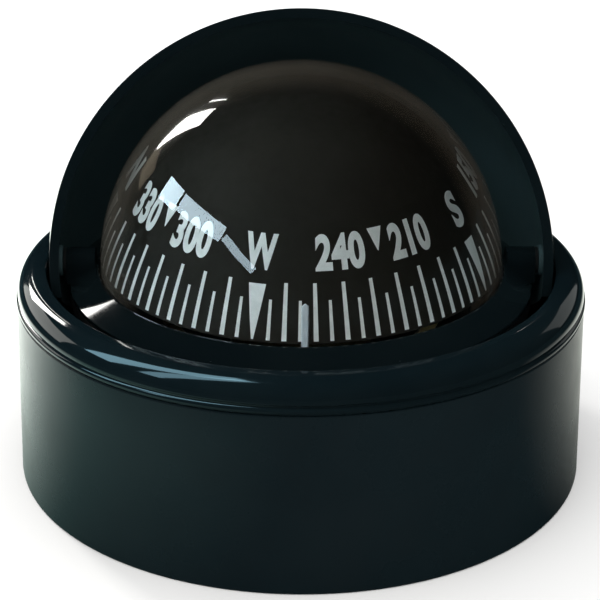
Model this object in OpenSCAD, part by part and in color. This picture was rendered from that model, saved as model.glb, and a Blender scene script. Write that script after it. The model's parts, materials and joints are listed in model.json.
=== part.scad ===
// Binnacle compass: a dome compass with a tilting spherical hood on a round deck base.
// Origin at the centre of the underside, +Z up, -Y towards the helmsman.

/* [Base] */
// Radius of the base at the deck
base_r = 55.3; // [55.2:0.1:57]
// Radius of the base wall at its top edge
base_top_r = 54.8; // [54.5:0.1:55]
// Height of the seam between base and cowl
seam_z = 35; // [34.8:0.1:35.2]
// Thickness of the mounting plate inside the base
floor_t = 3; // [2.6:0.1:3]
// Radius of the circle of deck screws
deck_circle_r = 47; // [46.5:0.1:47]
// Radius of a deck screw hole
deck_hole_r = 2.1; // [1.6:0.1:2.4]
// Number of deck screw holes
deck_holes = 4; // [4]

/* [Globe] */
// Height of the globe's centre, where all tilt axes meet
globe_z = 41; // [40.9:0.1:41.1]
// Outer radius of the clear dome
dome_r = 38.8; // [38.7:0.1:38.8]
// Wall of the clear dome
dome_t = 2; // [1.8:0.1:2]

/* [Hood] */
// Outer radius of the hood
hood_r = 48.6; // [48.4:0.1:48.6]
// Wall of the hood
hood_t = 1.8; // [1.6:0.1:1.8]
// How far the open hood's rim leans back from upright, in degrees
hood_lean = 22.5; // [20:0.5:24]
// Distance of the hood's two straight edges from the tilt axis
hood_edge = 8; // [7:0.1:8]

/* [Card] */
// Outer radius of the card at its lower edge
card_r = 31.5; // [31.2:0.05:31.6]
// Outer radius of the card at its top
card_top_r = 23.1; // [22.9:0.1:23.3]
// Height of the card's cone
card_h = 18.4; // [18.2:0.1:18.6]
// Rise of the domed top above the cone
card_rise = 12.2; // [11.8:0.1:12.4]

/* [Hidden] */
$fn = 96;
eps = 0.01;
reach = 120;                    // longer than any part of the compass
fit = 0.05;                     // radial clearance of a turning pin

// Base and cowl
base_in_r = 51.6;
cowl_in_r = 49;
spigot_r = base_in_r - fit;
spigot_z = 28;
bead_r = 0.75;
cowl_r = 55;
shoulder_r = 4.2;
shoulder_x = 50.5;
shoulder_z = 36.9;
lip_r = 0.5;
cowl_screw_z = 31.5;
cowl_screw_r = 1.25;
cowl_screw_at = [0, 90, 180];
grommet_y = -38;
grommet_r = 4;
cable_r = 2.5;
gasket_in_r = 49.6;
gasket_out_r = 50.8;
gasket_t = 1;
plate_r = 54;
plate_screws_n = 4;
plate_screw_circle_r = 52.8;
plate_screw_r = 0.9;

// Hood: the rear edge stays above the compensator shafts, and the closed rim lands on a shelf
hood_in_r = hood_r - hood_t;
hood_rear = -40;                // elevation of the rear edge, seen from the globe's centre
hood_rear_plane = hood_rear + asin(hood_edge / (hood_r - hood_t / 2));
hood_pin_r = 1.5;
hood_boss_r = 3;
hood_boss_x = 45.9;
stop_gap = 0.3;
shelf_z = globe_z - 6.3;
shelf_in_r = 47;
shelf_half_angle = 6;
shelf_at = [-115, -65];
pad_x = 14;
pad_w = 4;

// Bowl, dome and clamp ring
bowl_r = 39.2;
bowl_in_r = 37;
bowl_neck_z = 21;
bowl_floor_z = 15;
bowl_bottom_z = 12.6;
bowl_floor_r = 25;
bowl_bottom_r = 26.4;
flange_r = 44.6;
flange_z = 34.8;
flange_top_z = 37.2;
dome_in_r = dome_r - dome_t;
dome_flange_r = 40.6;
dome_flange_t = 1.3;
seal_t = 0.8;
dome_foot_z = flange_top_z + seal_t;
clamp_in_r = dome_r + 0.2;
clamp_top_z = globe_z - 0.1;
clamp_rim_r = 39.7;
clamp_edge_z = 38;
lug_in_x = 39.7;
lug_out_x = 45.2;
lug_r = 2.7;
clamp_screws_n = 8;
clamp_screw_circle_r = 42.7;

// Under the bowl
diaphragm_r = 18.5;
chamber_r = 13;
chamber_t = 0.5;
diaphragm_t = 1;
clamp_plate_t = 1.2;
clamp_plate_z = bowl_bottom_z - diaphragm_t - clamp_plate_t;
diaphragm_screws_n = 6;
diaphragm_screw_circle_r = 16.2;
port_r = 1.2;
port_at = 8.5;
side_circle_r = 21.2;           // circle of the bowl's own screws, its filler plug and its lamp
cradle_in_r = 23.8;
cradle_r = 26.2;
cradle_lug_circle_r = 30;
cradle_lug_r = 4.6;
cradle_lug_h = 6;
cradle_screws_n = 4;
tab_r = 2.4;
tab_t = 2.2;

// Compensator: two crossed shafts, one above the other
shaft_r = 1.3;
shaft_ew_z = 4.5;
shaft_ns_z = 7.4;
shaft_near = -13;
shaft_far = 50.4;
magnet_r = 0.6;
magnet_at = 7;
access_r = 2.2;
block_w = 22;
block_top_z = 9;

// Gimbal: bracket, ring and card frame nest inside the card without touching at any tilt
bracket_in_r = 24.8;
bracket_r = 26;
bracket_w = 7;
bracket_foot_l = 18;
bracket_foot_t = 1.5;
bracket_screw_y = 6.5;
ring_in_r = 21.8;
ring_r = 23.8;
ring_h = 3;
frame_in_r = 19;
frame_r = 20.8;
frame_w = 5.2;
ear_h = 1.9;
gimbal_pin_r = 0.8;
weight_r = 9.4;
weight_z = 24.7;
weight_h = 8.6;
post_r = 1.5;
post_taper_z = 44;
post_tip_z = 50.2;
nut_w = 6.4;
nut_h = 2;

// Card and what hangs on it
card_t = 0.8;
card_bottom_z = 38.8;
card_top_z = card_bottom_z + card_h;
cap_r = (card_top_r * card_top_r + card_rise * card_rise) / (2 * card_rise);
cap_z = card_top_z + card_rise - cap_r;
hub_r = 4;
hub_z = 49.4;
cup_r = 1.8;
cup_z = 49;
cup_h = 3;
cup_mouth_r = 1.2;
cup_apex_z = 50.6;
float_t = 0.8;
float_z = 56.2;
float_share = (float_z + float_t - card_bottom_z) / card_h;
float_r = card_r - card_t - (card_r - card_top_r) * float_share - fit;
magnet_z = 50;
bar_w = 3;
bar_l = 20;
bar_x = 8;

// Lubber post
lubber_w = 1.3;
lubber_in_r = 35.95;
lubber_out_r = 36.55;
lubber_foot_z = 36.2;
lubber_top_z = 47.8;
lubber_foot_w = 2.8;
lubber_foot_t = 0.9;
lubber_foot_y = 38.3;

// Radius of a horizontal cut at height z through a ball round the globe's centre
function cut_r(ball_r, z) = sqrt(ball_r * ball_r - (globe_z - z) * (globe_z - z));

module tube(r_out, r_in, z0, z1) {
  translate([0, 0, z0]) difference() {
    cylinder(r = r_out, h = z1 - z0);
    translate([0, 0, -1]) cylinder(r = r_in, h = z1 - z0 + 2);
  }
}

module disc(r, z0, z1) {
  translate([0, 0, z0]) cylinder(r = r, h = z1 - z0);
}

module rod_x(r, x0, x1, z) {
  translate([x0, 0, z]) rotate([0, 90, 0]) cylinder(r = r, h = x1 - x0);
}

module rod_y(r, y0, y1, z) {
  translate([0, y0, z]) rotate([-90, 0, 0]) cylinder(r = r, h = y1 - y0);
}

// Children repeated n times round the Z axis at radius r
module around(n, r, first = 0) {
  for (i = [0 : n - 1]) rotate([0, 0, first + i * 360 / n]) translate([r, 0, 0]) children();
}

module both_sides() {
  for (side = [0, 180]) rotate([0, 0, side]) children();
}

// Everything beyond a plane parallel to X: its normal leans by tilt from +Z towards -Y
module beyond(tilt, distance) {
  translate([0, 0, globe_z]) rotate([tilt, 0, 0])
    translate([-reach / 2, -reach / 2, distance]) cube(reach);
}

// Screw with a flat slotted head, its head below z and its shank above
module screw_up(shank_r, shank_l, head_r, head_h, z) {
  difference() {
    union() {
      disc(shank_r, z - eps, z + shank_l);
      disc(head_r, z - head_h, z);
    }
    translate([-head_r, -0.3, z - head_h - eps]) cube([2 * head_r, 0.6, 0.6]);
  }
}

module base_housing() {
  color("#15191b") difference() {
    cylinder(r1 = base_r, r2 = base_top_r, h = seam_z);
    disc(base_in_r, -1, seam_z + 1);
    disc(plate_r + fit, -1, floor_t);
    around(plate_screws_n, plate_screw_circle_r, 45) disc(plate_screw_r, -1, floor_t + 5);
    rod_x(access_r, base_in_r - 2, base_r + 2, shaft_ew_z);
    rod_y(access_r, base_in_r - 2, base_r + 2, shaft_ns_z);
    for (a = cowl_screw_at) rotate([0, 0, a]) {
      rod_x(cowl_screw_r + 0.2, base_in_r - 2, base_r + 2, cowl_screw_z);
      rod_x(2.4, base_top_r - 1.3, base_r + 2, cowl_screw_z);
    }
  }
}

// Plate that is screwed to the deck and closes the base from below
module base_plate() {
  color("#1a1d1f") difference() {
    disc(plate_r, 0, floor_t);
    tube(gasket_out_r, gasket_in_r, -1, gasket_t);
    around(deck_holes, deck_circle_r, 45) disc(deck_hole_r, -1, floor_t + 1);
    around(plate_screws_n, plate_screw_circle_r, 45) {
      disc(plate_screw_r + 0.1, -1, floor_t + 1);
      disc(1.7, -1, 1.2);
    }
    around(cradle_screws_n, cradle_lug_circle_r, 45) {
      disc(1.7, -1, floor_t + 1);
      disc(3.2, -1, 1.6);
    }
    translate([0, grommet_y, 0]) disc(grommet_r, -1, floor_t + 1);
  }
}

module plate_screws() {
  color("#9aa0a3") around(plate_screws_n, plate_screw_circle_r, 45)
    screw_up(plate_screw_r, floor_t + 3, 1.6, 1, 1.2);
}

// Two rubber pads on the plate that the open hood's rear edge comes down on
module hood_stops() {
  color("#111111") for (x = [-pad_x, pad_x]) intersection() {
    translate([x - pad_w / 2, 32.5, floor_t]) cube([pad_w, 4.5, 12]);
    beyond(180 + hood_rear_plane, hood_edge + stop_gap);
  }
}

module base_gasket() {
  color("#0c0c0c") tube(gasket_out_r, gasket_in_r, 0, gasket_t);
}

module cowl_ring() {
  color("#0b0d0e") difference() {
    union() {
      rotate_extrude() cowl_outline();
      for (a = shelf_at) rotate([0, 0, a - shelf_half_angle])
        rotate_extrude(angle = 2 * shelf_half_angle)
          translate([shelf_in_r, shelf_z - 1.5]) square([cowl_in_r + 0.8 - shelf_in_r, 1.5]);
    }
    for (a = cowl_screw_at) rotate([0, 0, a]) rod_x(cowl_screw_r, cowl_in_r - 1, base_r, cowl_screw_z);
  }
}

// Half section of the cowl: spigot, lower bead, groove and quarter-round shoulder
module cowl_outline() {
  translate([cowl_in_r, spigot_z]) square([spigot_r - cowl_in_r, seam_z - spigot_z + 1]);
  translate([cowl_in_r, seam_z]) square([cowl_r - bead_r - cowl_in_r, shoulder_z - seam_z]);
  translate([cowl_r - bead_r, seam_z + bead_r]) circle(r = bead_r);
  translate([cowl_in_r, shoulder_z - 1]) square([shoulder_x - cowl_in_r, shoulder_r + 1 - lip_r]);
  translate([cowl_in_r + lip_r, shoulder_z - 1]) square([shoulder_x - cowl_in_r - lip_r, shoulder_r + 1]);
  translate([cowl_in_r + lip_r, shoulder_z + shoulder_r - lip_r]) circle(r = lip_r);
  intersection() {
    translate([shoulder_x, shoulder_z]) circle(r = shoulder_r);
    translate([shoulder_x - 1, shoulder_z]) square(shoulder_r + 2);
  }
}

module cowl_screws() {
  color("#3a3d3f") for (a = cowl_screw_at) rotate([0, 0, a]) difference() {
    union() {
      rod_x(cowl_screw_r, cowl_in_r + 0.3, base_top_r - 1, cowl_screw_z);
      rod_x(2.2, base_top_r - 1.3, base_top_r - 0.3, cowl_screw_z);
    }
    translate([base_top_r - 0.8, -3, cowl_screw_z - 0.3]) cube([1, 6, 0.6]);
  }
}

module hood() {
  color("#0a0c0d") difference() {
    union() {
      translate([0, 0, globe_z]) difference() {
        sphere(r = hood_r);
        sphere(r = hood_in_r);
      }
      both_sides() rod_x(hood_boss_r, hood_boss_x, hood_in_r + 0.6, globe_z);
    }
    beyond(90 - hood_lean, hood_edge);
    beyond(180 + hood_rear_plane, hood_edge);
    both_sides() rod_x(hood_pin_r, hood_boss_x - 1, hood_r + 1, globe_z);
  }
}

module hood_pivot_pins() {
  color("#8d9194") both_sides() rod_x(hood_pin_r, lug_in_x + 1.2, hood_r - 0.2, globe_z);
}

module hood_washers() {
  color("#1b1c1d") both_sides() translate([0, 0, globe_z]) rotate([0, 90, 0])
    tube(2.6, hood_pin_r + fit, lug_out_x, hood_boss_x - 0.1);
}

module bowl() {
  color("#101213") difference() {
    union() {
      intersection() {
        translate([0, 0, globe_z]) sphere(r = bowl_r);
        disc(reach, bowl_neck_z, flange_top_z);
      }
      translate([0, 0, bowl_bottom_z])
        cylinder(r1 = bowl_bottom_r, r2 = cut_r(bowl_r, bowl_neck_z), h = bowl_neck_z - bowl_bottom_z);
      disc(flange_r, flange_z, flange_top_z);
    }
    intersection() {
      translate([0, 0, globe_z]) sphere(r = bowl_in_r);
      disc(reach, bowl_neck_z, globe_z);
    }
    translate([0, 0, bowl_floor_z])
      cylinder(r1 = bowl_floor_r, r2 = cut_r(bowl_in_r, bowl_neck_z), h = bowl_neck_z - bowl_floor_z);
    around(clamp_screws_n, clamp_screw_circle_r, 22.5) disc(1.2, flange_z - 1, flange_top_z + 1);
    around(diaphragm_screws_n, diaphragm_screw_circle_r, 30) disc(0.9, bowl_bottom_z - 1, bowl_floor_z - 0.5);
    around(4, side_circle_r, 45) disc(1.1, bowl_bottom_z - 1, bowl_floor_z - 0.5);
    around(4, port_at * sqrt(2), 45) disc(port_r, bowl_bottom_z - 1, bowl_floor_z + 1);
    for (y = [-bracket_screw_y, bracket_screw_y])
      translate([0, y, 0]) disc(1, bowl_floor_z - 1.9, bowl_floor_z + 1);
    translate([side_circle_r, 0, 0]) disc(1.6, bowl_bottom_z - 1, bowl_floor_z + 1);
    translate([0, -side_circle_r, 0]) disc(1.9, bowl_bottom_z - 1, bowl_floor_z + 1);
    translate([-lubber_foot_w / 2 - 0.1, -lubber_foot_y - 0.1, lubber_foot_z])
      cube([lubber_foot_w + 0.2, 3, 3]);
  }
}

// Ring on the base floor that carries the bowl, open where the compensator shafts pass
module bowl_cradle() {
  color("#1a1d1f") difference() {
    union() {
      tube(cradle_r, cradle_in_r, floor_t, bowl_bottom_z);
      around(cradle_screws_n, cradle_lug_circle_r, 45) {
        disc(cradle_lug_r, floor_t, floor_t + cradle_lug_h);
        translate([-5, -cradle_lug_r / 2, floor_t]) cube([5, cradle_lug_r, cradle_lug_h]);
      }
      around(4, side_circle_r, 45) {
        disc(tab_r, bowl_bottom_z - tab_t, bowl_bottom_z);
        translate([0, -tab_r, bowl_bottom_z - tab_t]) cube([3.5, 2 * tab_r, tab_t]);
      }
    }
    around(cradle_screws_n, cradle_lug_circle_r, 45) disc(1.4, floor_t - 1, floor_t + cradle_lug_h - 1);
    around(4, side_circle_r, 45) disc(1.4, bowl_bottom_z - tab_t - 1, bowl_bottom_z + 1);
    rod_x(access_r, 0, reach / 2, shaft_ew_z + 0.4);
    rod_y(access_r, 0, reach / 2, shaft_ns_z);
  }
}

module cradle_screws() {
  color("#9aa0a3") around(cradle_screws_n, cradle_lug_circle_r, 45) screw_up(1.4, 6, 3, 1.2, 1.6);
}

module bowl_screws() {
  color("#9aa0a3") around(4, side_circle_r, 45) screw_up(1.1, 3.8, 2, 1.1, bowl_bottom_z - tab_t);
}

module dome() {
  color("#dfe7ea", 0.35) rotate_extrude() dome_outline();
}

// Half section of the dome: a quarter round, its short upright foot and the flange
module dome_outline() {
  intersection() {
    translate([0, globe_z]) difference() {
      circle(r = dome_r);
      circle(r = dome_in_r);
    }
    translate([0, globe_z]) square(reach);
  }
  translate([dome_in_r, dome_foot_z]) square([dome_t, globe_z - dome_foot_z]);
  translate([dome_in_r, dome_foot_z]) square([dome_flange_r - dome_in_r, dome_flange_t]);
}

module dome_seal() {
  color("#1b1b1b") tube(dome_flange_r, bowl_in_r + 0.2, flange_top_z, dome_foot_z);
}

module dome_clamp_ring() {
  color("#0d0f10") difference() {
    union() {
      rotate_extrude() clamp_outline();
      both_sides() intersection() {
        union() {
          rod_x(lug_r, lug_in_x, lug_out_x, globe_z);
          translate([lug_in_x, -lug_r, flange_top_z + 0.6])
            cube([lug_out_x - lug_in_x, 2 * lug_r, globe_z - flange_top_z - 0.6]);
        }
        disc(reach, dome_foot_z + dome_flange_t + 0.1, reach);
      }
      both_sides() translate([dome_flange_r + 0.4, -lug_r, flange_top_z])
        cube([lug_out_x - dome_flange_r - 0.4, 2 * lug_r, globe_z - flange_top_z]);
    }
    both_sides() rod_x(hood_pin_r + fit, lug_in_x - 1, lug_out_x + 1, globe_z);
    around(clamp_screws_n, clamp_screw_circle_r, 22.5) disc(0.9, flange_top_z - 1, flange_top_z + 1.4);
  }
}

// Half section of the clamp ring: a sloping face over the dome's flange
module clamp_outline() {
  polygon([
    [clamp_in_r, dome_foot_z + dome_flange_t], [clamp_in_r, clamp_top_z - 0.3],
    [clamp_in_r + 0.3, clamp_top_z], [clamp_rim_r, clamp_top_z], [flange_r, clamp_edge_z],
    [flange_r, flange_top_z], [dome_flange_r + 0.2, flange_top_z],
    [dome_flange_r + 0.2, dome_foot_z + dome_flange_t]
  ]);
}

module clamp_screws() {
  color("#9aa0a3") around(clamp_screws_n, clamp_screw_circle_r, 22.5) screw_up(0.9, 3.6, 1.8, 1.1, flange_z);
}

module diaphragm() {
  color("#222222") difference() {
    disc(diaphragm_r, bowl_bottom_z - diaphragm_t, bowl_bottom_z);
    disc(chamber_r, bowl_bottom_z - chamber_t, bowl_bottom_z + 1);
    around(diaphragm_screws_n, diaphragm_screw_circle_r, 30) disc(1.1, clamp_plate_z, bowl_bottom_z + 1);
  }
}

module diaphragm_plate() {
  color("#a4a9ab") difference() {
    disc(diaphragm_r, clamp_plate_z, clamp_plate_z + clamp_plate_t);
    disc(chamber_r - 1, clamp_plate_z - 1, clamp_plate_z + clamp_plate_t + 1);
    around(diaphragm_screws_n, diaphragm_screw_circle_r, 30)
      disc(1.1, clamp_plate_z - 1, clamp_plate_z + clamp_plate_t + 1);
  }
}

module diaphragm_screws() {
  color("#9aa0a3") around(diaphragm_screws_n, diaphragm_screw_circle_r, 30)
    screw_up(0.9, 3.8, 1.8, 1.1, clamp_plate_z);
}

module filler_plug() {
  color("#b9bdbf") translate([side_circle_r, 0, 0]) screw_up(1.6, 3, 2.3, 1.6, bowl_bottom_z - seal_t);
}

module filler_seal() {
  color("#1b1b1b") translate([side_circle_r, 0, 0]) tube(2.3, 1.6, bowl_bottom_z - seal_t, bowl_bottom_z);
}

// Slim curved post at the front, between card and dome
module lubber_post() {
  color("#d5dde2") {
    intersection() {
      translate([0, 0, globe_z]) difference() {
        rod_x(lubber_out_r, -lubber_w / 2, lubber_w / 2, 0);
        rod_x(lubber_in_r, -lubber_w, lubber_w, 0);
      }
      translate([-2, -40, lubber_foot_z]) cube([4, 20, lubber_top_z - lubber_foot_z]);
    }
    translate([-lubber_foot_w / 2, -lubber_foot_y, lubber_foot_z])
      cube([lubber_foot_w, lubber_foot_y - 36.2, lubber_foot_t]);
  }
}

module gimbal_bracket() {
  color("#c8a94e") difference() {
    union() {
      intersection() {
        translate([0, 0, globe_z]) difference() {
          rod_x(bracket_r, -bracket_w / 2, bracket_w / 2, 0);
          rod_x(bracket_in_r, -bracket_w, bracket_w, 0);
        }
        translate([-reach / 2, -reach / 2, bowl_floor_z]) cube([reach, reach, globe_z - bowl_floor_z]);
      }
      both_sides() rod_y(ear_h, bracket_in_r, bracket_r, globe_z);
      translate([-bracket_w / 2, -bracket_foot_l / 2, bowl_floor_z])
        cube([bracket_w, bracket_foot_l, bracket_foot_t]);
    }
    both_sides() rod_y(gimbal_pin_r + fit, bracket_in_r - 1, bracket_r + 1, globe_z);
    for (y = [-bracket_screw_y, bracket_screw_y])
      translate([0, y, 0]) {
        disc(1.1, bowl_floor_z - 1, bowl_floor_z + 3);
        disc(2, bowl_floor_z + bracket_foot_t, bowl_floor_z + 6);
      }
  }
}

module bracket_screws() {
  color("#9aa0a3") for (y = [-bracket_screw_y, bracket_screw_y])
    translate([0, y, 2 * (bowl_floor_z + bracket_foot_t)]) mirror([0, 0, 1])
      screw_up(1, 3.2, 1.9, 1, bowl_floor_z + bracket_foot_t);
}

module gimbal_ring() {
  color("#c8a94e") difference() {
    tube(ring_r, ring_in_r, globe_z - ring_h / 2, globe_z + ring_h / 2);
    rod_x(gimbal_pin_r, -reach / 2, reach / 2, globe_z);
    rod_y(gimbal_pin_r, -reach / 2, reach / 2, globe_z);
  }
}

// Two pins outwards into the bracket and two inwards into the card frame
module gimbal_pins() {
  color("#b4b9bb") {
    both_sides() rod_y(gimbal_pin_r, ring_in_r, bracket_r - 0.2, globe_z);
    both_sides() rod_x(gimbal_pin_r, frame_in_r + 0.2, ring_r, globe_z);
  }
}

module card_frame() {
  color("#c8a94e") difference() {
    union() {
      intersection() {
        translate([0, 0, globe_z]) difference() {
          rod_y(frame_r, -frame_w / 2, frame_w / 2, 0);
          rod_y(frame_in_r, -frame_w, frame_w, 0);
        }
        translate([-reach / 2, -reach / 2, 0]) cube([reach, reach, globe_z]);
      }
      both_sides() translate([frame_in_r, -frame_w / 2, globe_z - 0.5])
        cube([frame_r - frame_in_r, frame_w, ear_h + 0.5]);
      disc(6, globe_z - frame_r + 0.3, weight_z);
    }
    both_sides() rod_x(gimbal_pin_r + fit, frame_in_r - 1, frame_r + 1, globe_z);
    disc(post_r, 0, weight_z + 1);
  }
}

module counterweight() {
  color("#8c6f33") tube(weight_r, post_r, weight_z, weight_z + weight_h);
}

module pivot_post() {
  color("#b4b9bb") {
    disc(post_r, globe_z - frame_r + 0.6, post_taper_z);
    translate([0, 0, post_taper_z])
      cylinder(r1 = post_r, r2 = 0.15, h = post_tip_z - post_taper_z);
  }
}

module post_nut() {
  color("#b4b9bb") translate([0, 0, weight_z + weight_h]) difference() {
    cylinder(d = nut_w, h = nut_h, $fn = 6);
    translate([0, 0, -1]) cylinder(r = post_r, h = nut_h + 2);
  }
}

// Cone that carries the marks, under a domed top
module compass_card() {
  color("#131311") difference() {
    union() {
      translate([0, 0, card_bottom_z]) cylinder(r1 = card_r, r2 = card_top_r, h = card_h);
      card_cap(cap_r, card_top_z);
    }
    translate([0, 0, card_bottom_z - eps])
      cylinder(r1 = card_r - card_t, r2 = card_top_r - card_t, h = card_h + 2 * eps);
    card_cap(cap_r - card_t, card_top_z);
  }
}

// Part of the card's top ball that lies above height z
module card_cap(r, z) {
  intersection() {
    translate([0, 0, cap_z]) sphere(r = r);
    disc(reach, z, z + reach);
  }
}

module card_hub() {
  color("#2a2a28") difference() {
    disc(hub_r, hub_z, float_z + float_t);
    disc(cup_r, hub_z - 1, cup_z + cup_h);
  }
}

module jewel_cup() {
  color("#8f2740") difference() {
    disc(cup_r, cup_z, cup_z + cup_h);
    translate([0, 0, cup_z - eps]) cylinder(r1 = cup_mouth_r, r2 = 0.1, h = cup_apex_z - cup_z);
  }
}

// Floor that closes the card's domed top into an air float, with four legs for the magnets
module card_float() {
  color("#2a2a28") {
    tube(float_r, hub_r, float_z, float_z + float_t);
    for (x = [-bar_x, bar_x], y = [-bar_l / 3, bar_l / 3])
      translate([x, y, 0]) disc(bar_w / 2, magnet_z + bar_w, float_z + float_t / 2);
  }
}

module card_magnets() {
  color("#4d5154") for (x = [-bar_x, bar_x])
    translate([x - bar_w / 2, -bar_l / 2, magnet_z]) cube([bar_w, bar_l, bar_w]);
}

module compensator_block() {
  color("#1a1d1f") difference() {
    translate([-block_w / 2, -block_w / 2, floor_t]) cube([block_w, block_w, block_top_z - floor_t]);
    rod_x(shaft_r + fit, -reach / 2, reach / 2, shaft_ew_z);
    rod_y(shaft_r + fit, -reach / 2, reach / 2, shaft_ns_z);
  }
}

// One shaft along +X, with a screwdriver slot at its outer end and two crosswise magnet holes
module shaft(z) {
  difference() {
    rod_x(shaft_r, shaft_near, shaft_far, z);
    for (x = [-magnet_at, magnet_at]) translate([x, 0, z - 2]) cylinder(r = magnet_r, h = 4);
    translate([shaft_far - 0.8, -0.25, z - 2]) cube([2, 0.5, 4]);
  }
}

module shaft_magnets(z) {
  for (x = [-magnet_at, magnet_at]) translate([x, 0, z - 1]) cylinder(r = magnet_r, h = 2);
}

module ns_shaft() {
  color("#c2a24a") rotate([0, 0, 90]) shaft(shaft_ns_z);
}

module ns_magnets() {
  color("#4d5154") rotate([0, 0, 90]) shaft_magnets(shaft_ns_z);
}

module ew_shaft() {
  color("#c2a24a") shaft(shaft_ew_z);
}

module ew_magnets() {
  color("#4d5154") shaft_magnets(shaft_ew_z);
}

module lamp_holder() {
  color("#2b2e30") translate([0, -side_circle_r, 0]) {
    tube(2.4, 1.1, bowl_bottom_z - 3, bowl_bottom_z);
    tube(1.9, 1.1, bowl_bottom_z, bowl_floor_z - 0.6);
  }
}

module lamp() {
  color("#c8463a") translate([0, -side_circle_r, 0]) {
    disc(1.1, bowl_bottom_z - 2.4, bowl_floor_z - 0.6);
    disc(1.85, bowl_floor_z - 0.6, bowl_floor_z + 1);
    translate([0, 0, bowl_floor_z + 1]) intersection() {
      sphere(r = 1.85);
      disc(3, 0, 3);
    }
  }
}

module cable_grommet() {
  color("#161616") translate([0, grommet_y, 0]) {
    tube(grommet_r, cable_r, 0.3, floor_t);
    tube(grommet_r + 1.6, cable_r, floor_t, floor_t + 1.4);
  }
}

base_housing();
base_plate();
plate_screws();
base_gasket();
hood_stops();
cowl_ring();
cowl_screws();
hood();
hood_pivot_pins();
hood_washers();
bowl();
bowl_cradle();
cradle_screws();
bowl_screws();
dome();
dome_seal();
dome_clamp_ring();
clamp_screws();
diaphragm();
diaphragm_plate();
diaphragm_screws();
filler_plug();
filler_seal();
lubber_post();
gimbal_bracket();
bracket_screws();
gimbal_ring();
gimbal_pins();
card_frame();
counterweight();
pivot_post();
post_nut();
compass_card();
card_hub();
jewel_cup();
card_float();
card_magnets();
compensator_block();
ns_shaft();
ns_magnets();
ew_shaft();
ew_magnets();
lamp_holder();
lamp();
cable_grommet();
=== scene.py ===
import json
import math

import bmesh
import bpy
from mathutils import Matrix, Quaternion, Vector


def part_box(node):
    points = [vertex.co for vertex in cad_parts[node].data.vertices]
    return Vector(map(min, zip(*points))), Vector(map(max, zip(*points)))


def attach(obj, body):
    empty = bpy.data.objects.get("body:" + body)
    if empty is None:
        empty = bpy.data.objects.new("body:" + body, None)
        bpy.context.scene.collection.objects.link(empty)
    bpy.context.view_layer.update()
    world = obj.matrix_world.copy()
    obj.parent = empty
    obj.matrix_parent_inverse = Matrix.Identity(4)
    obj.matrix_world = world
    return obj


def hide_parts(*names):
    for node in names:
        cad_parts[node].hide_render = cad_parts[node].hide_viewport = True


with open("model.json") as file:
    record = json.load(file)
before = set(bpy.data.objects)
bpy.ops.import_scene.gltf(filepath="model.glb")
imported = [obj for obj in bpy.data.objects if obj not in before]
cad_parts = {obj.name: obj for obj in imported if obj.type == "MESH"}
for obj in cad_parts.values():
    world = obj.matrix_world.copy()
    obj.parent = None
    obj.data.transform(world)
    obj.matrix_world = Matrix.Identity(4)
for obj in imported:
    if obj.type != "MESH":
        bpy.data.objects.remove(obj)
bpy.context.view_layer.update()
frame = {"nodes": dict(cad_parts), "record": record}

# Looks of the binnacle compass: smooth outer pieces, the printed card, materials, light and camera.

MM = 0.001

JOINTS = {j["name"]: j for j in frame["record"]["behaviour"]["joints"]}
GLOBE = Vector(JOINTS["hood_tilt"]["pos_m"])


# ---------------------------------------------------------------- sizes from the frame

def low(node):
    return Vector(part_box(node)[0])


def high(node):
    return Vector(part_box(node)[1])


SEAM_Z = high("base_housing").z
BASE_R = high("base_housing").x
BASE_TOP_R = BASE_R - 0.5 * MM
BASE_IN_R = high("cowl_screws").x - 2.9 * MM
PLATE_R = high("base_plate").x
PLATE_T = high("base_plate").z
COWL_R = high("cowl_ring").x
COWL_TOP = high("cowl_ring").z
COWL_FOOT = low("cowl_ring").z
COWL_IN_R = COWL_R - 6 * MM
HOOD_R = high("hood").x
HOOD_T = 1.8 * MM
HOOD_EDGE = 8 * MM
PIN_R = 1.5 * MM
BOSS_R = 3.0 * MM
HOOD_LEAN = math.radians(22.5)
HOOD_REAR = math.radians(-40)
DOME_R = high("dome").z - GLOBE.z
DOME_FLANGE_R = high("dome").x
DOME_FLANGE_T = 1.3 * MM
DOME_FOOT = low("dome").z
BOWL_TOP = high("bowl").z
BOWL_IN_R = 37 * MM
BOWL_FLOOR_R = 25 * MM
BOWL_FLOOR = low("lamp").z + 3 * MM
BOWL_NECK = BOWL_FLOOR + 6 * MM
CARD_R = high("compass_card").x
CARD_FOOT = low("compass_card").z
CARD_TOP = high("compass_card").z
CARD_CONE_TOP_R = 23.1 * MM
CARD_CONE_H = 18.4 * MM
CARD_T = 0.8 * MM


# ---------------------------------------------------------------- mesh helpers

def new_object(name, bm, materials, body, nodes=()):
    """A piece from bm that rides on body and stands for the CAD nodes."""
    bmesh.ops.recalc_face_normals(bm, faces=bm.faces)
    mesh = bpy.data.meshes.new(name)
    bm.to_mesh(mesh)
    bm.free()
    for m in materials:
        mesh.materials.append(m)
    obj = bpy.data.objects.new(name, mesh)
    bpy.context.scene.collection.objects.link(obj)
    for polygon in mesh.polygons:
        polygon.use_smooth = True
    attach(obj, body)
    if nodes:
        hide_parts(*nodes)
    return obj


def sharpen(obj, degrees=40):
    obj.data.set_sharp_from_angle(angle=math.radians(degrees))


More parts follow.
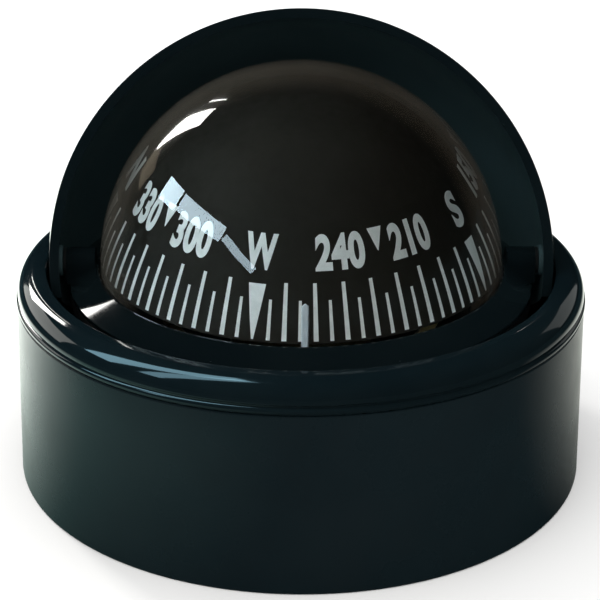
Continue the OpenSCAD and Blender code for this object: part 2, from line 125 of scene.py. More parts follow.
def rounded(points, steps=6):
    """A closed outline in (r, z) from corners (r, z, fillet radius), each fillet as an arc."""
    out = []
    count = len(points)
    for i, (r, z, fillet) in enumerate(points):
        here = Vector((r, z))
        if fillet <= 0:
            out.append(here)
            continue
        before = Vector(points[i - 1][:2]) - here
        after = Vector(points[(i + 1) % count][:2]) - here
        half = before.angle(after) / 2
        back = fillet / math.tan(half)
        a = here + before.normalized() * back
        b = here + after.normalized() * back
        centre = here + (before.normalized() + after.normalized()).normalized() * fillet / math.sin(half)
        start, end = a - centre, b - centre
        sweep = start.angle(end)
        for k in range(steps + 1):
            t = k / steps
            w = math.sin(sweep)
            mix = start * (math.sin((1 - t) * sweep) / w) + end * (math.sin(t * sweep) / w)
            out.append(centre + mix)
    return out


def arc(cx, cz, radius, start, end, steps):
    """Points (r, z) on a circle, from angle start to end in degrees."""
    out = []
    for k in range(steps + 1):
        a = math.radians(start + (end - start) * k / steps)
        out.append(Vector((cx + radius * math.cos(a), cz + radius * math.sin(a))))
    return out


def revolve(bm, outline, segments):
    """Sweeps a closed outline in (r, z) once round the Z axis."""
    rings = []
    for k in range(segments):
        a = 2 * math.pi * k / segments
        rings.append([bm.verts.new((p.x * math.cos(a), p.x * math.sin(a), p.y)) for p in outline])
    n = len(outline)
    for k in range(segments):
        here, there = rings[k], rings[(k + 1) % segments]
        for i in range(n):
            j = (i + 1) % n
            quad = [here[i], there[i], there[j], here[j]]
            if outline[i].x < 1e-7 and outline[j].x < 1e-7:
                continue
            bm.faces.new(quad)
    bmesh.ops.remove_doubles(bm, verts=bm.verts, dist=1e-7)


def cut_holes(obj, cutters):
    """Cuts round holes: each cutter is (start, direction, length, radius)."""
    for start, direction, length, radius in cutters:
        bm = bmesh.new()
        bmesh.ops.create_cone(bm, cap_ends=True, segments=48, radius1=radius, radius2=radius, depth=length)
        turn = Vector(direction).to_track_quat("Z", "Y").to_matrix().to_4x4()
        place = Matrix.Translation(Vector(start) + Vector(direction) * length / 2)
        bmesh.ops.transform(bm, matrix=place @ turn, verts=bm.verts)
        mesh = bpy.data.meshes.new("cutter")
        bm.to_mesh(mesh)
        bm.free()
        cutter = bpy.data.objects.new("cutter", mesh)
        bpy.context.scene.collection.objects.link(cutter)
        cut = obj.modifiers.new("hole", "BOOLEAN")
        cut.object = cutter
        cut.operation = "DIFFERENCE"
        cut.solver = "EXACT"
        apply_modifiers(obj)
        bpy.data.objects.remove(cutter)
        bpy.data.meshes.remove(mesh)


def apply_modifiers(obj):
    bpy.context.view_layer.update()
    deps = bpy.context.evaluated_depsgraph_get()
    mesh = bpy.data.meshes.new_from_object(obj.evaluated_get(deps), depsgraph=deps)
    old = obj.data
    obj.modifiers.clear()
    obj.data = mesh
    bpy.data.meshes.remove(old)


# ---------------------------------------------------------------- material helpers

class Look:
    """A Principled material with the few node patterns that the compass needs."""

    def __init__(self, name):
        self.material = bpy.data.materials.new(name)
        self.material.use_nodes = True
        self.tree = self.material.node_tree
        self.shader = self.tree.nodes["Principled BSDF"]
        coordinates = self.tree.nodes.new("ShaderNodeTexCoord")
        self.place = coordinates.outputs["Object"]

    def set(self, **values):
        for key, value in values.items():
            self.shader.inputs[key.replace("_", " ")].default_value = value
        return self

    def stretched(self, scale):
        """Object coordinates with each axis scaled on its own."""
        node = self.tree.nodes.new("ShaderNodeVectorMath")
        node.operation = "MULTIPLY"
        self.tree.links.new(self.place, node.inputs[0])
        node.inputs[1].default_value = scale
        return node.outputs[0]

    def noise(self, scale, detail=3.0, roughness=0.55, place=None):
        node = self.tree.nodes.new("ShaderNodeTexNoise")
        node.inputs["Scale"].default_value = scale
        node.inputs["Detail"].default_value = detail
        node.inputs["Roughness"].default_value = roughness
        self.tree.links.new(place or self.place, node.inputs["Vector"])
        return node.outputs["Fac"]

    def ranged(self, value, from_low, from_high, to_low, to_high):
        node = self.tree.nodes.new("ShaderNodeMapRange")
        self.tree.links.new(value, node.inputs["Value"])
        for key, number in zip(("From Min", "From Max", "To Min", "To Max"),
                               (from_low, from_high, to_low, to_high)):
            node.inputs[key].default_value = number
        return node.outputs["Result"]

    def blend(self, factor, first, second):
        node = self.tree.nodes.new("ShaderNodeMix")
        node.data_type = "RGBA"
        self.tree.links.new(factor, node.inputs["Factor"])
        for socket, colour in ((node.inputs["A"], first), (node.inputs["B"], second)):
            if isinstance(colour, tuple):
                socket.default_value = (*colour, 1)
            else:
                self.tree.links.new(colour, socket)
        return node.outputs["Result"]

    def colour(self, socket):
        self.tree.links.new(socket, self.shader.inputs["Base Color"])
        return self

    def roughness(self, socket):
        self.tree.links.new(socket, self.shader.inputs["Roughness"])
        return self

    def bump(self, *layers):
        """Stacks bumps: each layer is (height socket, distance in metres, strength)."""
        normal = None
        for height, distance, strength in layers:
            node = self.tree.nodes.new("ShaderNodeBump")
            node.inputs["Distance"].default_value = distance
            node.inputs["Strength"].default_value = strength
            self.tree.links.new(height, node.inputs["Height"])
            if normal is not None:
                self.tree.links.new(normal, node.inputs["Normal"])
            normal = node.outputs["Normal"]
        self.tree.links.new(normal, self.shader.inputs["Normal"])
        return self


def satin_plastic(name, dark, light, rough, grain, depth, level=0.4):
    """Moulded plastic with a fine grain, cloudy gloss and a little handling polish."""
    look = Look(name)
    cloud = look.noise(28, 4)
    fine = look.noise(grain, 2, 0.6)
    look.colour(look.blend(look.ranged(cloud, 0.35, 0.7, 0, 1), dark, light))
    look.roughness(look.ranged(look.noise(70, 5), 0.3, 0.7, *rough))
    look.bump((fine, depth, 0.6), (look.noise(grain * 0.22, 3), depth * 1.4, 0.35))
    look.set(Specular_IOR_Level=level)
    return look.material


def gloss_plastic(name, dark, light, rough, level=0.5):
    """Polished plastic with faint smears, dust and a slight waviness from the mould."""
    look = Look(name)
    smear = look.noise(45, 6, 0.65, look.stretched((1.0, 1.0, 2.6)))
    dust = look.ranged(look.noise(2600, 1), 0.76, 0.86, 0, 1)
    base = look.blend(look.ranged(smear, 0.4, 0.7, 0, 1), dark, light)
    look.colour(look.blend(dust, base, tuple(c * 3 + 0.008 for c in light)))
    look.roughness(look.ranged(smear, 0.35, 0.75, *rough))
    look.bump((look.noise(160, 2), 0.000012, 0.35))
    look.set(Specular_IOR_Level=level)
    return look.material


def turned_metal(name, dark, light, rough, stretch):
    """Metal with fine turning or drawing lines and a little tarnish."""
    look = Look(name)
    lines = look.noise(900, 3, 0.6, look.stretched(stretch))
    stain = look.noise(220, 4)
    look.colour(look.blend(look.ranged(stain, 0.35, 0.7, 0, 1), dark, light))
    look.roughness(look.ranged(lines, 0.3, 0.7, *rough))
    look.bump((lines, 0.000008, 0.4))
    look.set(Metallic=1.0)
    return look.material


def rubber(name):
    look = Look(name)
    look.colour(look.blend(look.ranged(look.noise(180, 4), 0.35, 0.7, 0, 1), (0.012, 0.012, 0.012),
                           (0.03, 0.03, 0.029)))
    look.roughness(look.ranged(look.noise(500, 3), 0.3, 0.7, 0.62, 0.85))
    look.bump((look.noise(3000, 2), 0.00002, 0.5))
    return look.material


def clear_acrylic(name):
    """Clear dome full of liquid: it bends and mirrors light, and lets lamps through to the card. Towards its
    outline an opaque brown is mixed in by how sideways it is seen: a painted reflection of its dark
    surroundings."""
    look = Look(name)
    look.set(Base_Color=(0.985, 0.98, 0.965, 1), Transmission_Weight=1.0, IOR=1.4, Roughness=0.0)
    look.bump((look.noise(40, 2), 0.00001, 0.2))
    nodes, links = look.tree.nodes, look.tree.links
    weight = nodes.new("ShaderNodeLayerWeight")
    weight.inputs["Blend"].default_value = 0.5
    facing = weight.outputs["Facing"]
    # Painted reflection at the outline: this opaque brown-black shader is blended in by facing.
    wall = nodes.new("ShaderNodeBsdfPrincipled")
    wall.inputs["Roughness"].default_value = 0.12
    wall.inputs["Specular IOR Level"].default_value = 0.4
    painted_edge_colour = look.blend(look.ranged(look.noise(60, 4), 0.35, 0.7, 0, 1), (0.024, 0.020, 0.015),
                      (0.033, 0.028, 0.022))
    links.new(painted_edge_colour, wall.inputs["Base Color"])
    body = nodes.new("ShaderNodeMixShader")
    links.new(look.ranged(facing, 0.46, 0.76, 0, 0.9), body.inputs["Fac"])
    links.new(look.shader.outputs[0], body.inputs[1])
    links.new(wall.outputs[0], body.inputs[2])
    through = nodes.new("ShaderNodeBsdfTransparent")
    through.inputs["Color"].default_value = (0.93, 0.93, 0.92, 1)
    path = nodes.new("ShaderNodeLightPath")
    mix = nodes.new("ShaderNodeMixShader")
    links.new(path.outputs["Is Shadow Ray"], mix.inputs["Fac"])
    links.new(body.outputs[0], mix.inputs[1])
    links.new(through.outputs[0], mix.inputs[2])
    links.new(mix.outputs[0], nodes["Material Output"].inputs["Surface"])
    return look.material


def card_paint(name):
    """Matt brown-black card with a powdery surface."""
    look = Look(name)
    look.colour(look.blend(look.ranged(look.noise(120, 5), 0.35, 0.7, 0, 1), (0.0165, 0.0152, 0.0120),
                           (0.0210, 0.0197, 0.0158)))
    look.roughness(look.ranged(look.noise(600, 2), 0.3, 0.7, 0.55, 0.75))
    look.bump((look.noise(2600, 2), 0.00001, 0.4))
    look.set(Specular_IOR_Level=0.12)
    return look.material


def mark_paint(name):
    """Screen-printed off-white ink, a little uneven."""
    look = Look(name)
    look.colour(look.blend(look.ranged(look.noise(700, 4), 0.35, 0.7, 0, 1), (0.78, 0.82, 0.80),
                           (0.88, 0.92, 0.90)))
    look.roughness(look.ranged(look.noise(900, 2), 0.3, 0.7, 0.45, 0.6))
    look.bump((look.noise(3500, 2), 0.000008, 0.4))
    return look.material


def lubber_plastic(name):
    look = Look(name)
    look.colour(look.blend(look.ranged(look.noise(500, 3), 0.35, 0.7, 0, 1), (0.74, 0.86, 0.93),
                           (0.84, 0.93, 0.98)))
    look.roughness(look.ranged(look.noise(800, 2), 0.3, 0.7, 0.3, 0.42))
    look.bump((look.noise(2500, 2), 0.000006, 0.3))
    return look.material


def coloured_lens(name, colour, transmission):
    look = Look(name)
    look.set(Transmission_Weight=transmission, IOR=1.5)
    look.colour(look.blend(look.ranged(look.noise(400, 3), 0.35, 0.7, 0, 1), colour,
                           tuple(c * 0.75 for c in colour)))
    look.roughness(look.ranged(look.noise(600, 2), 0.3, 0.7, 0.08, 0.2))
    look.bump((look.noise(1500, 2), 0.000006, 0.3))
    return look.material


HOUSING = satin_plastic("housing_plastic", (0.0034, 0.0078, 0.0098), (0.0048, 0.0100, 0.0122),
                        (0.24, 0.34), 2200, 0.000014, 0.2)
INNER = satin_plastic("inner_plastic", (0.006, 0.0075, 0.008), (0.010, 0.012, 0.0125),
                      (0.42, 0.58), 1500, 0.00002, 0.35)
# Painted fill light: the hood's inside is a lighter teal than its near-black outside, standing in for light
# that does not reach under the hood.
HOOD_INSIDE_PAINTED_FILL = satin_plastic("hood_inside_painted_fill", (0.030, 0.056, 0.061), (0.038, 0.068, 0.074),
                            (0.42, 0.55), 1300, 0.00002, 0.2)
PLATE = satin_plastic("plate_plastic", (0.008, 0.0095, 0.010), (0.012, 0.014, 0.0145),
                      (0.45, 0.6), 900, 0.00003, 0.35)
GLOSS = gloss_plastic("gloss_black_plastic", (0.0023, 0.0046, 0.0056), (0.0032, 0.0060, 0.0070),
                      (0.05, 0.11), 0.35)
BRASS = turned_metal("turned_brass", (0.50, 0.34, 0.14), (0.74, 0.55, 0.27), (0.22, 0.42), (1, 1, 6))
STEEL = turned_metal("stainless_steel", (0.42, 0.43, 0.44), (0.62, 0.63, 0.64), (0.22, 0.40), (5, 1, 1))
MAGNET = turned_metal("magnet_alloy", (0.10, 0.10, 0.11), (0.18, 0.18, 0.19), (0.35, 0.55), (1, 4, 1))
RUBBER = rubber("black_rubber")
ACRYLIC = clear_acrylic("clear_acrylic")
CARD_PAINT = card_paint("card_black")
INK = mark_paint("card_ink")
LUBBER = lubber_plastic("lubber_plastic")
RUBY = coloured_lens("jewel_ruby", (0.45, 0.02, 0.07), 0.35)
LAMP = coloured_lens("lamp_red", (0.75, 0.05, 0.03), 0.6)

NODE_LOOKS = {
    "plate_plastic": PLATE, "inner_plastic": INNER, "rubber": RUBBER, "brass": BRASS, "steel": STEEL,
    "magnet": MAGNET, "jewel": RUBY, "lamp_red": LAMP, "card_black": CARD_PAINT, "housing": HOUSING,
    "gloss_black": GLOSS, "dome_clear": ACRYLIC, "lubber_white": LUBBER,
}


def dress_cad_nodes():
    """Each CAD node takes the look of its material slot."""
    for row in frame["record"]["subparts"]:
        obj = frame["nodes"][row["node"]]
        for slot in obj.material_slots:
            slot.material = NODE_LOOKS[row["material_slot"]]


# ---------------------------------------------------------------- base and cowl

def make_base():
    """Base wall with a rebate for the plate, soft edges and its screw and adjuster holes."""
    rebate = PLATE_R + 0.05 * MM
    outline = rounded([
        (BASE_R, 0, 0.5 * MM), (BASE_TOP_R, SEAM_Z, 0.35 * MM), (BASE_IN_R, SEAM_Z, 0.2 * MM),
        (BASE_IN_R, PLATE_T, 0.15 * MM), (rebate, PLATE_T, 0.1 * MM), (rebate, 0, 0.2 * MM)])
    bm = bmesh.new()
    revolve(bm, outline, 288)
    obj = new_object("base_wall", bm, [HOUSING], "base", ["base_housing"])
    ns_z = JOINTS["ns_corrector_turn"]["pos_m"][2]
    ew_z = JOINTS["ew_corrector_turn"]["pos_m"][2]
    screw_z = (low("cowl_screws").z + high("cowl_screws").z) / 2
    holes = [((BASE_IN_R - 2 * MM, 0, ew_z), (1, 0, 0), 8 * MM, 2.2 * MM),
             ((0, BASE_IN_R - 2 * MM, ns_z), (0, 1, 0), 8 * MM, 2.2 * MM)]
    for direction in ((1, 0, 0), (0, 1, 0), (-1, 0, 0)):
        out = Vector(direction)
        start = out * (BASE_TOP_R - 1.3 * MM) + Vector((0, 0, screw_z))
        holes.append((start, direction, 4 * MM, 2.4 * MM))
        holes.append((out * (BASE_IN_R - 1 * MM) + Vector((0, 0, screw_z)), direction, 4 * MM, 1.45 * MM))
    cut_holes(obj, holes)
    sharpen(obj, 35)
    return obj


def make_cowl():
    """Cowl ring: spigot, bead, groove and quarter-round shoulder rolling in to a fine inner lip."""
    bead = 0.75 * MM
    shoulder = 4.2 * MM
    shoulder_x = COWL_R - 4.5 * MM
    shoulder_z = COWL_TOP - shoulder
    lip = 0.5 * MM
    spigot = BASE_IN_R - 0.05 * MM
    outline = [Vector((COWL_IN_R, COWL_FOOT)), Vector((spigot - 0.3 * MM, COWL_FOOT)),
               Vector((spigot, COWL_FOOT + 0.3 * MM)), Vector((spigot, SEAM_Z + 0.02 * MM))]
    outline += arc(COWL_R - bead, SEAM_Z + bead + 0.02 * MM, bead, -90, 66, 14)
    outline += [Vector((shoulder_x + shoulder - 0.28 * MM, SEAM_Z + 1.52 * MM)),
                Vector((shoulder_x + shoulder - 0.28 * MM, shoulder_z - 0.10 * MM))]
    outline += arc(shoulder_x, shoulder_z, shoulder, 2, 90, 40)
    outline += arc(COWL_IN_R + lip, COWL_TOP - lip, lip, 90, 180, 10)
    bm = bmesh.new()
    revolve(bm, outline, 320)
    obj = new_object("cowl_ring_skin", bm, [GLOSS], "base", ["cowl_ring"])
    sharpen(obj, 35)
    return obj


# ---------------------------------------------------------------- hood

def make_hood():
    """Spherical hood: a patch between two planes through one line, with soft rims and holes for its pivot
    pins.
    """
    rear_plane = HOOD_REAR + math.asin(HOOD_EDGE / (HOOD_R - HOOD_T / 2))
    front_normal = Vector((-math.cos(HOOD_LEAN), math.sin(HOOD_LEAN)))
    rear_normal = Vector((math.sin(rear_plane), -math.cos(rear_plane)))
    det = front_normal.x * rear_normal.y - front_normal.y * rear_normal.x
    corner = Vector(((rear_normal.y - front_normal.y) * HOOD_EDGE / det,
                     (front_normal.x - rear_normal.x) * HOOD_EDGE / det))
    front_angle = math.atan2(math.cos(HOOD_LEAN), math.sin(HOOD_LEAN))
    rows, columns = 84, 200
    bm = bmesh.new()
    skins = []
    for radius in (HOOD_R, HOOD_R - HOOD_T):
        grid = []
        tip = math.sqrt(radius * radius - corner.length_squared)
        for i in range(rows + 1):
            angle = rear_plane + (front_angle - rear_plane) * i / rows
            along = Vector((math.cos(angle), math.sin(angle)))
            centre_at = -corner.dot(along)
            centre = corner + along * centre_at
            ring = math.sqrt(radius * radius - centre.length_squared)
            limit = math.atan2(tip, -centre_at)
            row = []
            for j in range(columns + 1):
                beta = -limit + 2 * limit * j / columns
                flat = centre + along * ring * math.cos(beta)
                row.append(bm.verts.new((ring * math.sin(beta), flat.x, GLOBE.z + flat.y)))
            grid.append(row)
        skins.append(grid)
    outer, inner = skins
    for grid, index in ((outer, 0), (inner, 1)):
        for i in range(rows):
            for j in range(columns):
                face = bm.faces.new((grid[i][j], grid[i + 1][j], grid[i + 1][j + 1], grid[i][j + 1]))
                face.material_index = index
    for i in (0, rows):
        for j in range(columns):
            bm.faces.new((outer[i][j], outer[i][j + 1], inner[i][j + 1], inner[i][j]))
    bmesh.ops.remove_doubles(bm, verts=bm.verts, dist=1e-6)
    # The inner faces take the hood's inside plastic, lightened with painted fill light.
    obj = new_object("hood_shell", bm, [GLOSS, HOOD_INSIDE_PAINTED_FILL], "hood", ["hood"])
    bevel = obj.modifiers.new("soft rim", "BEVEL")
    bevel.width = 0.5 * MM
    bevel.segments = 5
    bevel.limit_method = "ANGLE"
    bevel.angle_limit = math.radians(60)
    bevel.use_clamp_overlap = True
    bevel.material = 0
    apply_modifiers(obj)
    cut_holes(obj, [((HOOD_R - 4 * MM, 0, GLOBE.z), (1, 0, 0), 8 * MM, PIN_R),
                    ((-HOOD_R + 4 * MM, 0, GLOBE.z), (-1, 0, 0), 8 * MM, PIN_R)])
    sharpen(obj, 35)
    return obj


def make_hood_bosses():
    """Flat bosses inside the hood round its pivot pins."""
    bm = bmesh.new()
    face_x = high("hood_washers").x + 0.1 * MM
    root_x = HOOD_R - HOOD_T + 0.4 * MM
    for side in (1, -1):
        part = bmesh.new()
        revolve(part, rounded([(PIN_R, 0, 0), (BOSS_R, 0, 0.3 * MM), (BOSS_R, root_x - face_x, 0),
                               (PIN_R, root_x - face_x, 0)]), 64)
        turn = Matrix.Rotation(side * math.pi / 2, 4, "Y")
        place = Matrix.Translation((side * face_x, 0, GLOBE.z))
        bmesh.ops.transform(part, matrix=place @ turn, verts=part.verts)
        mesh = bpy.data.meshes.new("boss")
        part.to_mesh(mesh)
        part.free()
        bm.from_mesh(mesh)
        bpy.data.meshes.remove(mesh)
    # The bosses take the hood's inside plastic, lightened with painted fill light.
    obj = new_object("hood_bosses", bm, [HOOD_INSIDE_PAINTED_FILL], "hood", ["hood"])
    sharpen(obj, 35)
    return obj


# ---------------------------------------------------------------- dome

def make_dome():
    """Clear dome and the liquid behind it as one clear body, so that the card looks magnified. The
    liquid reaches down to the bowl's floor and stays just clear of the bowl's wall."""
    flange_top = DOME_FOOT + DOME_FLANGE_T
    gap = 0.1 * MM
    wall = BOWL_IN_R - gap
    neck = math.degrees(math.asin((BOWL_NECK - GLOBE.z) / wall))
    shoulder = math.degrees(math.asin((BOWL_TOP - GLOBE.z) / wall))
    outline = arc(0, GLOBE.z, DOME_R, 90, 0, 110)
    outline[0].x = 0
    outline += [Vector((DOME_R, flange_top)), Vector((DOME_FLANGE_R, flange_top)),
                Vector((DOME_FLANGE_R, DOME_FOOT)), Vector((wall, DOME_FOOT))]
    outline += arc(0, GLOBE.z, wall, shoulder, neck, 24)
    outline += [Vector((BOWL_FLOOR_R - gap, BOWL_FLOOR + gap)), Vector((0, BOWL_FLOOR + gap))]
    bm = bmesh.new()
    revolve(bm, outline, 288)
    obj = new_object("dome_and_liquid", bm, [ACRYLIC], "base", ["dome"])
    sharpen(obj, 35)
    return obj


# ---------------------------------------------------------------- card

def card_point(angle, up, lift=0.0):
    """A point on the card's cone: angle in degrees clockwise from the front, up along the slope."""
    slope = math.atan2(CARD_R - CARD_CONE_TOP_R, CARD_CONE_H)
    r = CARD_R - up * math.sin(slope) + lift * math.cos(slope)
    z = CARD_FOOT + up * math.cos(slope) + lift * math.sin(slope)
    a = math.radians(angle)
    return Vector((r * math.sin(a), -r * math.cos(a), z))


def make_card():
    """Card body: thin cone with a soft lower edge under a domed top."""
    rise = CARD_TOP - CARD_FOOT - CARD_CONE_H
    cone_top = CARD_FOOT + CARD_CONE_H
    cap = (CARD_CONE_TOP_R ** 2 + rise ** 2) / (2 * rise)
    cap_z = CARD_TOP - cap
    edge = math.degrees(math.asin((cone_top - cap_z) / cap))
    outline = [Vector((CARD_R - CARD_T, CARD_FOOT)), Vector((CARD_R - 0.1 * MM, CARD_FOOT)),
               Vector((CARD_R, CARD_FOOT + 0.1 * MM))]
    outline += arc(0, cap_z, cap, edge, 90, 48)
    outline[-1].x = 0
    inner = list(reversed(arc(0, cap_z, cap - CARD_T, edge, 90, 48)))
    inner[0].x = 0
    outline += inner
    bm = bmesh.new()
    revolve(bm, outline, 288)
    obj = new_object("card_body", bm, [CARD_PAINT], "card", ["compass_card"])
    sharpen(obj, 50)
    return obj


CARD_HEADING = 253.6        # the heading that faces the front, in degrees
LABEL_FOOT = 12.35 * MM
LABEL_H = 6.2 * MM
INK_LIFT = 0.09 * MM
INK_SINK = -0.05 * MM
BOLD = 0.042                # how much heavier the figures are, as a share of their size


def add_patch(bm, corners, columns, rows):
    """A slab of ink between four (angle, up) corners: foot left, foot right, top right, top left."""
    def at(u, v, lift):
        foot = corners[0][0] + (corners[1][0] - corners[0][0]) * u
        top = corners[3][0] + (corners[2][0] - corners[3][0]) * u
        low_up = corners[0][1] + (corners[1][1] - corners[0][1]) * u
        high_up = corners[3][1] + (corners[2][1] - corners[3][1]) * u
        return card_point(foot + (top - foot) * v, low_up + (high_up - low_up) * v, lift)
    skins = []
    for lift in (INK_LIFT, INK_SINK):
        skins.append([[bm.verts.new(at(i / columns, j / rows, lift)) for i in range(columns + 1)]
                      for j in range(rows + 1)])
    face_up, face_down = skins
    for j in range(rows):
        for i in range(columns):
            for grid in skins:
                bm.faces.new((grid[j][i], grid[j][i + 1], grid[j + 1][i + 1], grid[j + 1][i]))
    for j in (0, rows):
        for i in range(columns):
            bm.faces.new((face_up[j][i], face_up[j][i + 1], face_down[j][i + 1], face_down[j][i]))
    for i in (0, columns):
        for j in range(rows):
            bm.faces.new((face_up[j][i], face_up[j + 1][i], face_down[j + 1][i], face_down[j][i]))


def width_angle(width, up):
    """The angle in degrees that a width takes on the card at a height."""
    here = card_point(0, up)
    return math.degrees(width / math.hypot(here.x, here.y))


def add_text(bm, text, angle):
    """Upright figures, condensed and heavy, wrapped on to the cone."""
    curve = bpy.data.curves.new("figures", "FONT")
    curve.body = text
    curve.size = 1.0
    curve.offset = BOLD
    curve.extrude = 0.5
    curve.space_character = 1.04
    curve.align_x = "CENTER"
    obj = bpy.data.objects.new("figures", curve)
    bpy.context.scene.collection.objects.link(obj)
    bpy.context.view_layer.update()
    deps = bpy.context.evaluated_depsgraph_get()
    mesh = bpy.data.meshes.new_from_object(obj.evaluated_get(deps), depsgraph=deps)
    part = bmesh.new()
    part.from_mesh(mesh)
    narrow = 0.68 if text.isdigit() else 0.60 if text == "W" else 0.85
    size = LABEL_H / (0.70 + 2 * BOLD)
    long_edges = [e for e in part.edges if e.calc_length() * size > 0.7 * MM]
    bmesh.ops.subdivide_edges(part, edges=long_edges, cuts=2)
    xs = [v.co.x for v in part.verts]
    middle = (min(xs) + max(xs)) / 2
    for v in part.verts:
        up = LABEL_FOOT + (v.co.y + BOLD) * size
        lift = INK_LIFT if v.co.z > 0 else INK_SINK
        turn = width_angle((v.co.x - middle) * size * narrow, LABEL_FOOT + LABEL_H / 2)
        v.co = card_point(angle + turn, up, lift)
    part.to_mesh(mesh)
    part.free()
    bm.from_mesh(mesh)
    bpy.data.objects.remove(obj)
    bpy.data.meshes.remove(mesh)
    bpy.data.curves.remove(curve)


def make_marks():
    """Ticks, wedges, triangles and figures of the front-reading scale."""
    bm = bmesh.new()
    foot = 0.5 * MM
    long_top, short_top, wedge_top = 10.4 * MM, 7.5 * MM, 10.0 * MM
    cardinals = {0: "N", 90: "E", 180: "S", 270: "W"}
    for heading in range(0, 360, 5):
        angle = CARD_HEADING - heading
        if heading in cardinals:
            half_foot = width_angle(0.35 * MM, foot) / 2
            half_top = width_angle(2.9 * MM, wedge_top) / 2
            add_patch(bm, [(angle - half_foot, foot), (angle + half_foot, foot),
                           (angle + half_top, wedge_top), (angle - half_top, wedge_top)], 6, 8)
            add_text(bm, cardinals[heading], angle)
            continue
        is_long = heading % 10 == 0
        top = long_top if is_long else short_top
        wide = 0.85 * MM if is_long else 0.68 * MM
        half_foot = width_angle(wide, foot) / 2
        half_top = width_angle(0.72 * wide, top) / 2
        add_patch(bm, [(angle - half_foot, foot), (angle + half_foot, foot), (angle + half_top, top),
                       (angle - half_top, top)], 2, 8)
        if heading % 30 == 0:
            add_text(bm, str(heading), angle)
        if heading % 90 == 45:
            label_top = LABEL_FOOT + LABEL_H
            half_top = width_angle(2.6 * MM, label_top) / 2
            tip = label_top - 3.9 * MM
            add_patch(bm, [(angle - 0.1, tip), (angle + 0.1, tip), (angle + half_top, label_top),
                           (angle - half_top, label_top)], 6, 6)
    obj = new_object("card_marks", bm, [INK], "card")
    for polygon in obj.data.polygons:
        polygon.use_smooth = False
    return obj


def make_lubber():
    """Slim lubber post, curved with the dome, with a rounded tip and its clamped foot."""
    box_low, box_high = low("lubber_post"), high("lubber_post")
    inner, outer = 35.95 * MM, 36.55 * MM
    half = 0.65 * MM
    steps = 28
    bottom = math.asin((box_low.z - GLOBE.z) / outer)
    top = math.asin((box_high.z - GLOBE.z) / outer)
    bm = bmesh.new()
    rings = []
    for k in range(steps + 1):
        a = bottom + (top - bottom) * k / steps
        left = (top - a) * outer
        round_off = max(0, half ** 2 - (half - left) ** 2)
        narrow = half if left > half else max(0.1 * MM, math.sqrt(round_off))
        ring = []
        for x, r in ((-narrow, inner), (-narrow * 0.7, outer), (0, outer + 0.02 * MM),
                     (narrow * 0.7, outer), (narrow, inner)):
            ring.append(bm.verts.new((x, -r * math.cos(a), GLOBE.z + r * math.sin(a))))
        rings.append(ring)
    for k in range(steps):
        for i in range(5):
            j = (i + 1) % 5
            bm.faces.new((rings[k][i], rings[k][j], rings[k + 1][j], rings[k + 1][i]))
    bm.faces.new(rings[0])
    bm.faces.new(rings[-1])
    foot = bmesh.ops.create_cube(bm, size=1)["verts"]
    foot_t, foot_w = 0.9 * MM, 2.8 * MM
    reach = -36.2 * MM - box_low.y
    middle = Vector((0, box_low.y + reach / 2, box_low.z + foot_t / 2))
    shape = Matrix.Translation(middle) @ Matrix.Diagonal((foot_w, reach, foot_t, 1))
    bmesh.ops.transform(bm, matrix=shape, verts=foot)
    obj = new_object("lubber_line", bm, [LUBBER], "base", ["lubber_post"])
    sharpen(obj, 40)
    return obj


# ---------------------------------------------------------------- floor, light and camera

def make_floor():
    """White paper floor. Glossy rays see a painted reflection on it instead: close to the base it is teal at
    the left, pale behind and dark in front. Further out it is dark."""
    look = Look("floor_paper_painted_reflection")
    paper = look.blend(look.ranged(look.noise(6, 3), 0.35, 0.7, 0, 1), (0.80, 0.80, 0.80),
                       (0.83, 0.83, 0.825))
    nodes, links = look.tree.nodes, look.tree.links
    split = nodes.new("ShaderNodeSeparateXYZ")
    links.new(look.place, split.inputs[0])
    length = nodes.new("ShaderNodeVectorMath")
    length.operation = "LENGTH"
    links.new(look.place, length.inputs[0])
    near = look.ranged(length.outputs["Value"], 0.19, 0.13, 0, 1)
    left = look.ranged(split.outputs["X"], -0.01, -0.12, 0, 1)
    behind = look.ranged(split.outputs["Y"], -0.03, 0.05, 0, 1)
    # Painted reflection: the colours that glossy rays see on the floor near the base.
    painted_reflection_front = look.blend(left, (0.012, 0.024, 0.028), (0.42, 0.74, 0.68))
    painted_reflection_behind = look.blend(left, (0.95, 1.0, 0.92), (2.3, 2.5, 2.35))
    painted_reflection = look.blend(near, (0.012, 0.024, 0.028), look.blend(behind, painted_reflection_front, painted_reflection_behind))
    # Glossy rays get the painted reflection, all other rays the paper.
    path = nodes.new("ShaderNodeLightPath")
    look.colour(look.blend(path.outputs["Is Glossy Ray"], paper, painted_reflection))
    look.roughness(look.ranged(look.noise(40, 3), 0.3, 0.7, 0.7, 0.9))
    look.set(Specular_IOR_Level=0.0)
    bm = bmesh.new()
    bmesh.ops.create_grid(bm, x_segments=8, y_segments=8, size=4)
    mesh = bpy.data.meshes.new("floor")
    bm.to_mesh(mesh)
    bm.free()
    mesh.materials.append(look.material)
    floor = bpy.data.objects.new("floor", mesh)
    bpy.context.scene.collection.objects.link(floor)


def area_light(name, azimuth, elevation, size, radiance, colour=(1, 1, 1), distance=0.6):
    """A rectangular light that faces the globe's centre. Azimuth is from the front towards +X, in degrees."""
    data = bpy.data.lights.new(name, "AREA")
    data.shape = "RECTANGLE"
    data.size, data.size_y = size
    data.energy = radiance * math.pi * size[0] * size[1]
    data.color = colour
    light = bpy.data.objects.new(name, data)
    a, e = math.radians(azimuth), math.radians(elevation)
    way = Vector((math.sin(a) * math.cos(e), -math.cos(a) * math.cos(e), math.sin(e)))
    light.location = GLOBE + way * distance
    light.rotation_mode = "QUATERNION"
    light.rotation_quaternion = (-way).to_track_quat("-Z", "Y")
    bpy.context.scene.collection.objects.link(light)
    return light


def light_only(light, *pieces):
    """Makes the light reach these pieces and no others."""
    only = bpy.data.collections.new(light.name + "_pieces")
    for piece in pieces:
        only.objects.link(piece)
    light.light_linking.receiver_collection = only


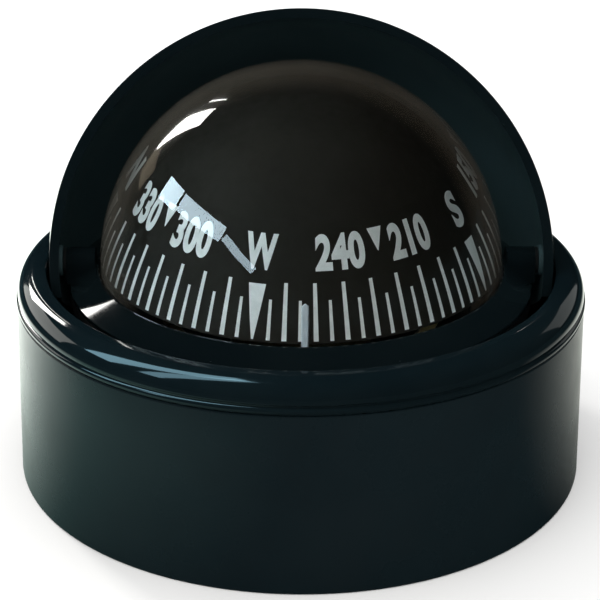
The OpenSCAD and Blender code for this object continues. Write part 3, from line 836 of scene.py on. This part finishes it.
def make_lights(base, cowl, hood, dome):
    fill = area_light("soft_fill", -20, 55, (1.0, 1.0), 1.5, (1.0, 0.99, 0.97), 1.1)
    fill.visible_glossy = False
    fill.visible_transmission = False
    fill.data.cycles.use_multiple_importance_sampling = False
    blue = (0.70, 0.89, 1.0)
    near = area_light("window_near", -99, 26, (0.16, 0.10), 24, blue)
    near.rotation_quaternion = near.rotation_quaternion @ Quaternion((0, 0, 1), math.radians(14))
    mid = area_light("window_mid", -70, 29.5, (0.36, 0.09), 19, blue)
    far = area_light("window_far", -38, 21.5, (0.26, 0.045), 14, blue)
    far.rotation_quaternion = far.rotation_quaternion @ Quaternion((0, 0, 1), math.radians(-32))
    wall = area_light("wall_left", -131, 14, (0.16, 0.10), 0.8, (1.0, 0.85, 0.62))
    for light in (near, mid, far, wall):
        light_only(light, dome)
    area_light("skylight", -141, 26, (0.10, 0.22), 22, (1.0, 0.99, 0.95))
    area_light("skylight_edge", -153, 27, (0.010, 0.18), 16, (1.0, 0.99, 0.95))
    area_light("far_lamp", 164, 30, (0.012, 0.012), 14)
    pane_near = area_light("cowl_window_near", -88, 52, (0.16, 0.60), 9, (0.45, 0.82, 1.0))
    pane_far = area_light("cowl_window_far", -62, 52, (0.10, 0.55), 7, (0.45, 0.82, 1.0))
    edge_left = area_light("edge_left", -122, 14, (0.45, 0.26), 2.4, (0.98, 1.0, 0.95))
    edge_right = area_light("edge_right", 128, 16, (0.30, 0.24), 0.6, (0.96, 1.0, 0.97))
    rim = area_light("rim_back", -170, 48, (0.5, 0.15), 2.5, (0.96, 1.0, 0.98))
    light_only(pane_near, cowl)
    light_only(pane_far, cowl)
    light_only(edge_left, base, cowl)
    light_only(edge_right, base, cowl)
    light_only(rim, hood)
    world = bpy.data.worlds.new("studio")
    bpy.context.scene.world = world
    world.use_nodes = True
    background = world.node_tree.nodes["Background"]
    background.inputs["Color"].default_value = (1, 1, 1, 1)
    background.inputs["Strength"].default_value = 1.15
    world.cycles_visibility.glossy = False
    world.cycles_visibility.transmission = False


def make_camera():
    """Camera in front of the compass, looking down on it from 0.4 m away."""
    distance = 400 * MM
    elevation = math.radians(22.25)
    azimuth = math.radians(-1.25)
    roll = math.radians(0.38)
    aim = Vector((0, 0, 45 * MM))
    back = Vector((math.sin(azimuth) * math.cos(elevation), -math.cos(azimuth) * math.cos(elevation),
                   math.sin(elevation)))
    data = bpy.data.cameras.new("camera")
    data.sensor_width = 36
    data.lens = 124.272
    data.shift_x = -0.0020
    data.shift_y = -0.0981
    camera = bpy.data.objects.new("camera", data)
    camera.rotation_mode = "QUATERNION"
    camera.location = aim + back * distance
    turn = (-back).to_track_quat("-Z", "Y").to_matrix() @ Matrix.Rotation(roll, 3, "Z")
    camera.rotation_quaternion = turn.to_quaternion()
    data.clip_start = 0.01
    data.clip_end = 20
    bpy.context.scene.collection.objects.link(camera)
    bpy.context.scene.camera = camera
    bpy.context.scene.view_settings.view_transform = "Standard"


make_camera()
make_floor()
dress_cad_nodes()
base_wall = make_base()
cowl_skin = make_cowl()
hood_shell = make_hood()
make_hood_bosses()
clear_body = make_dome()
make_lights(base_wall, cowl_skin, hood_shell, clear_body)
make_card()
make_marks()
make_lubber()
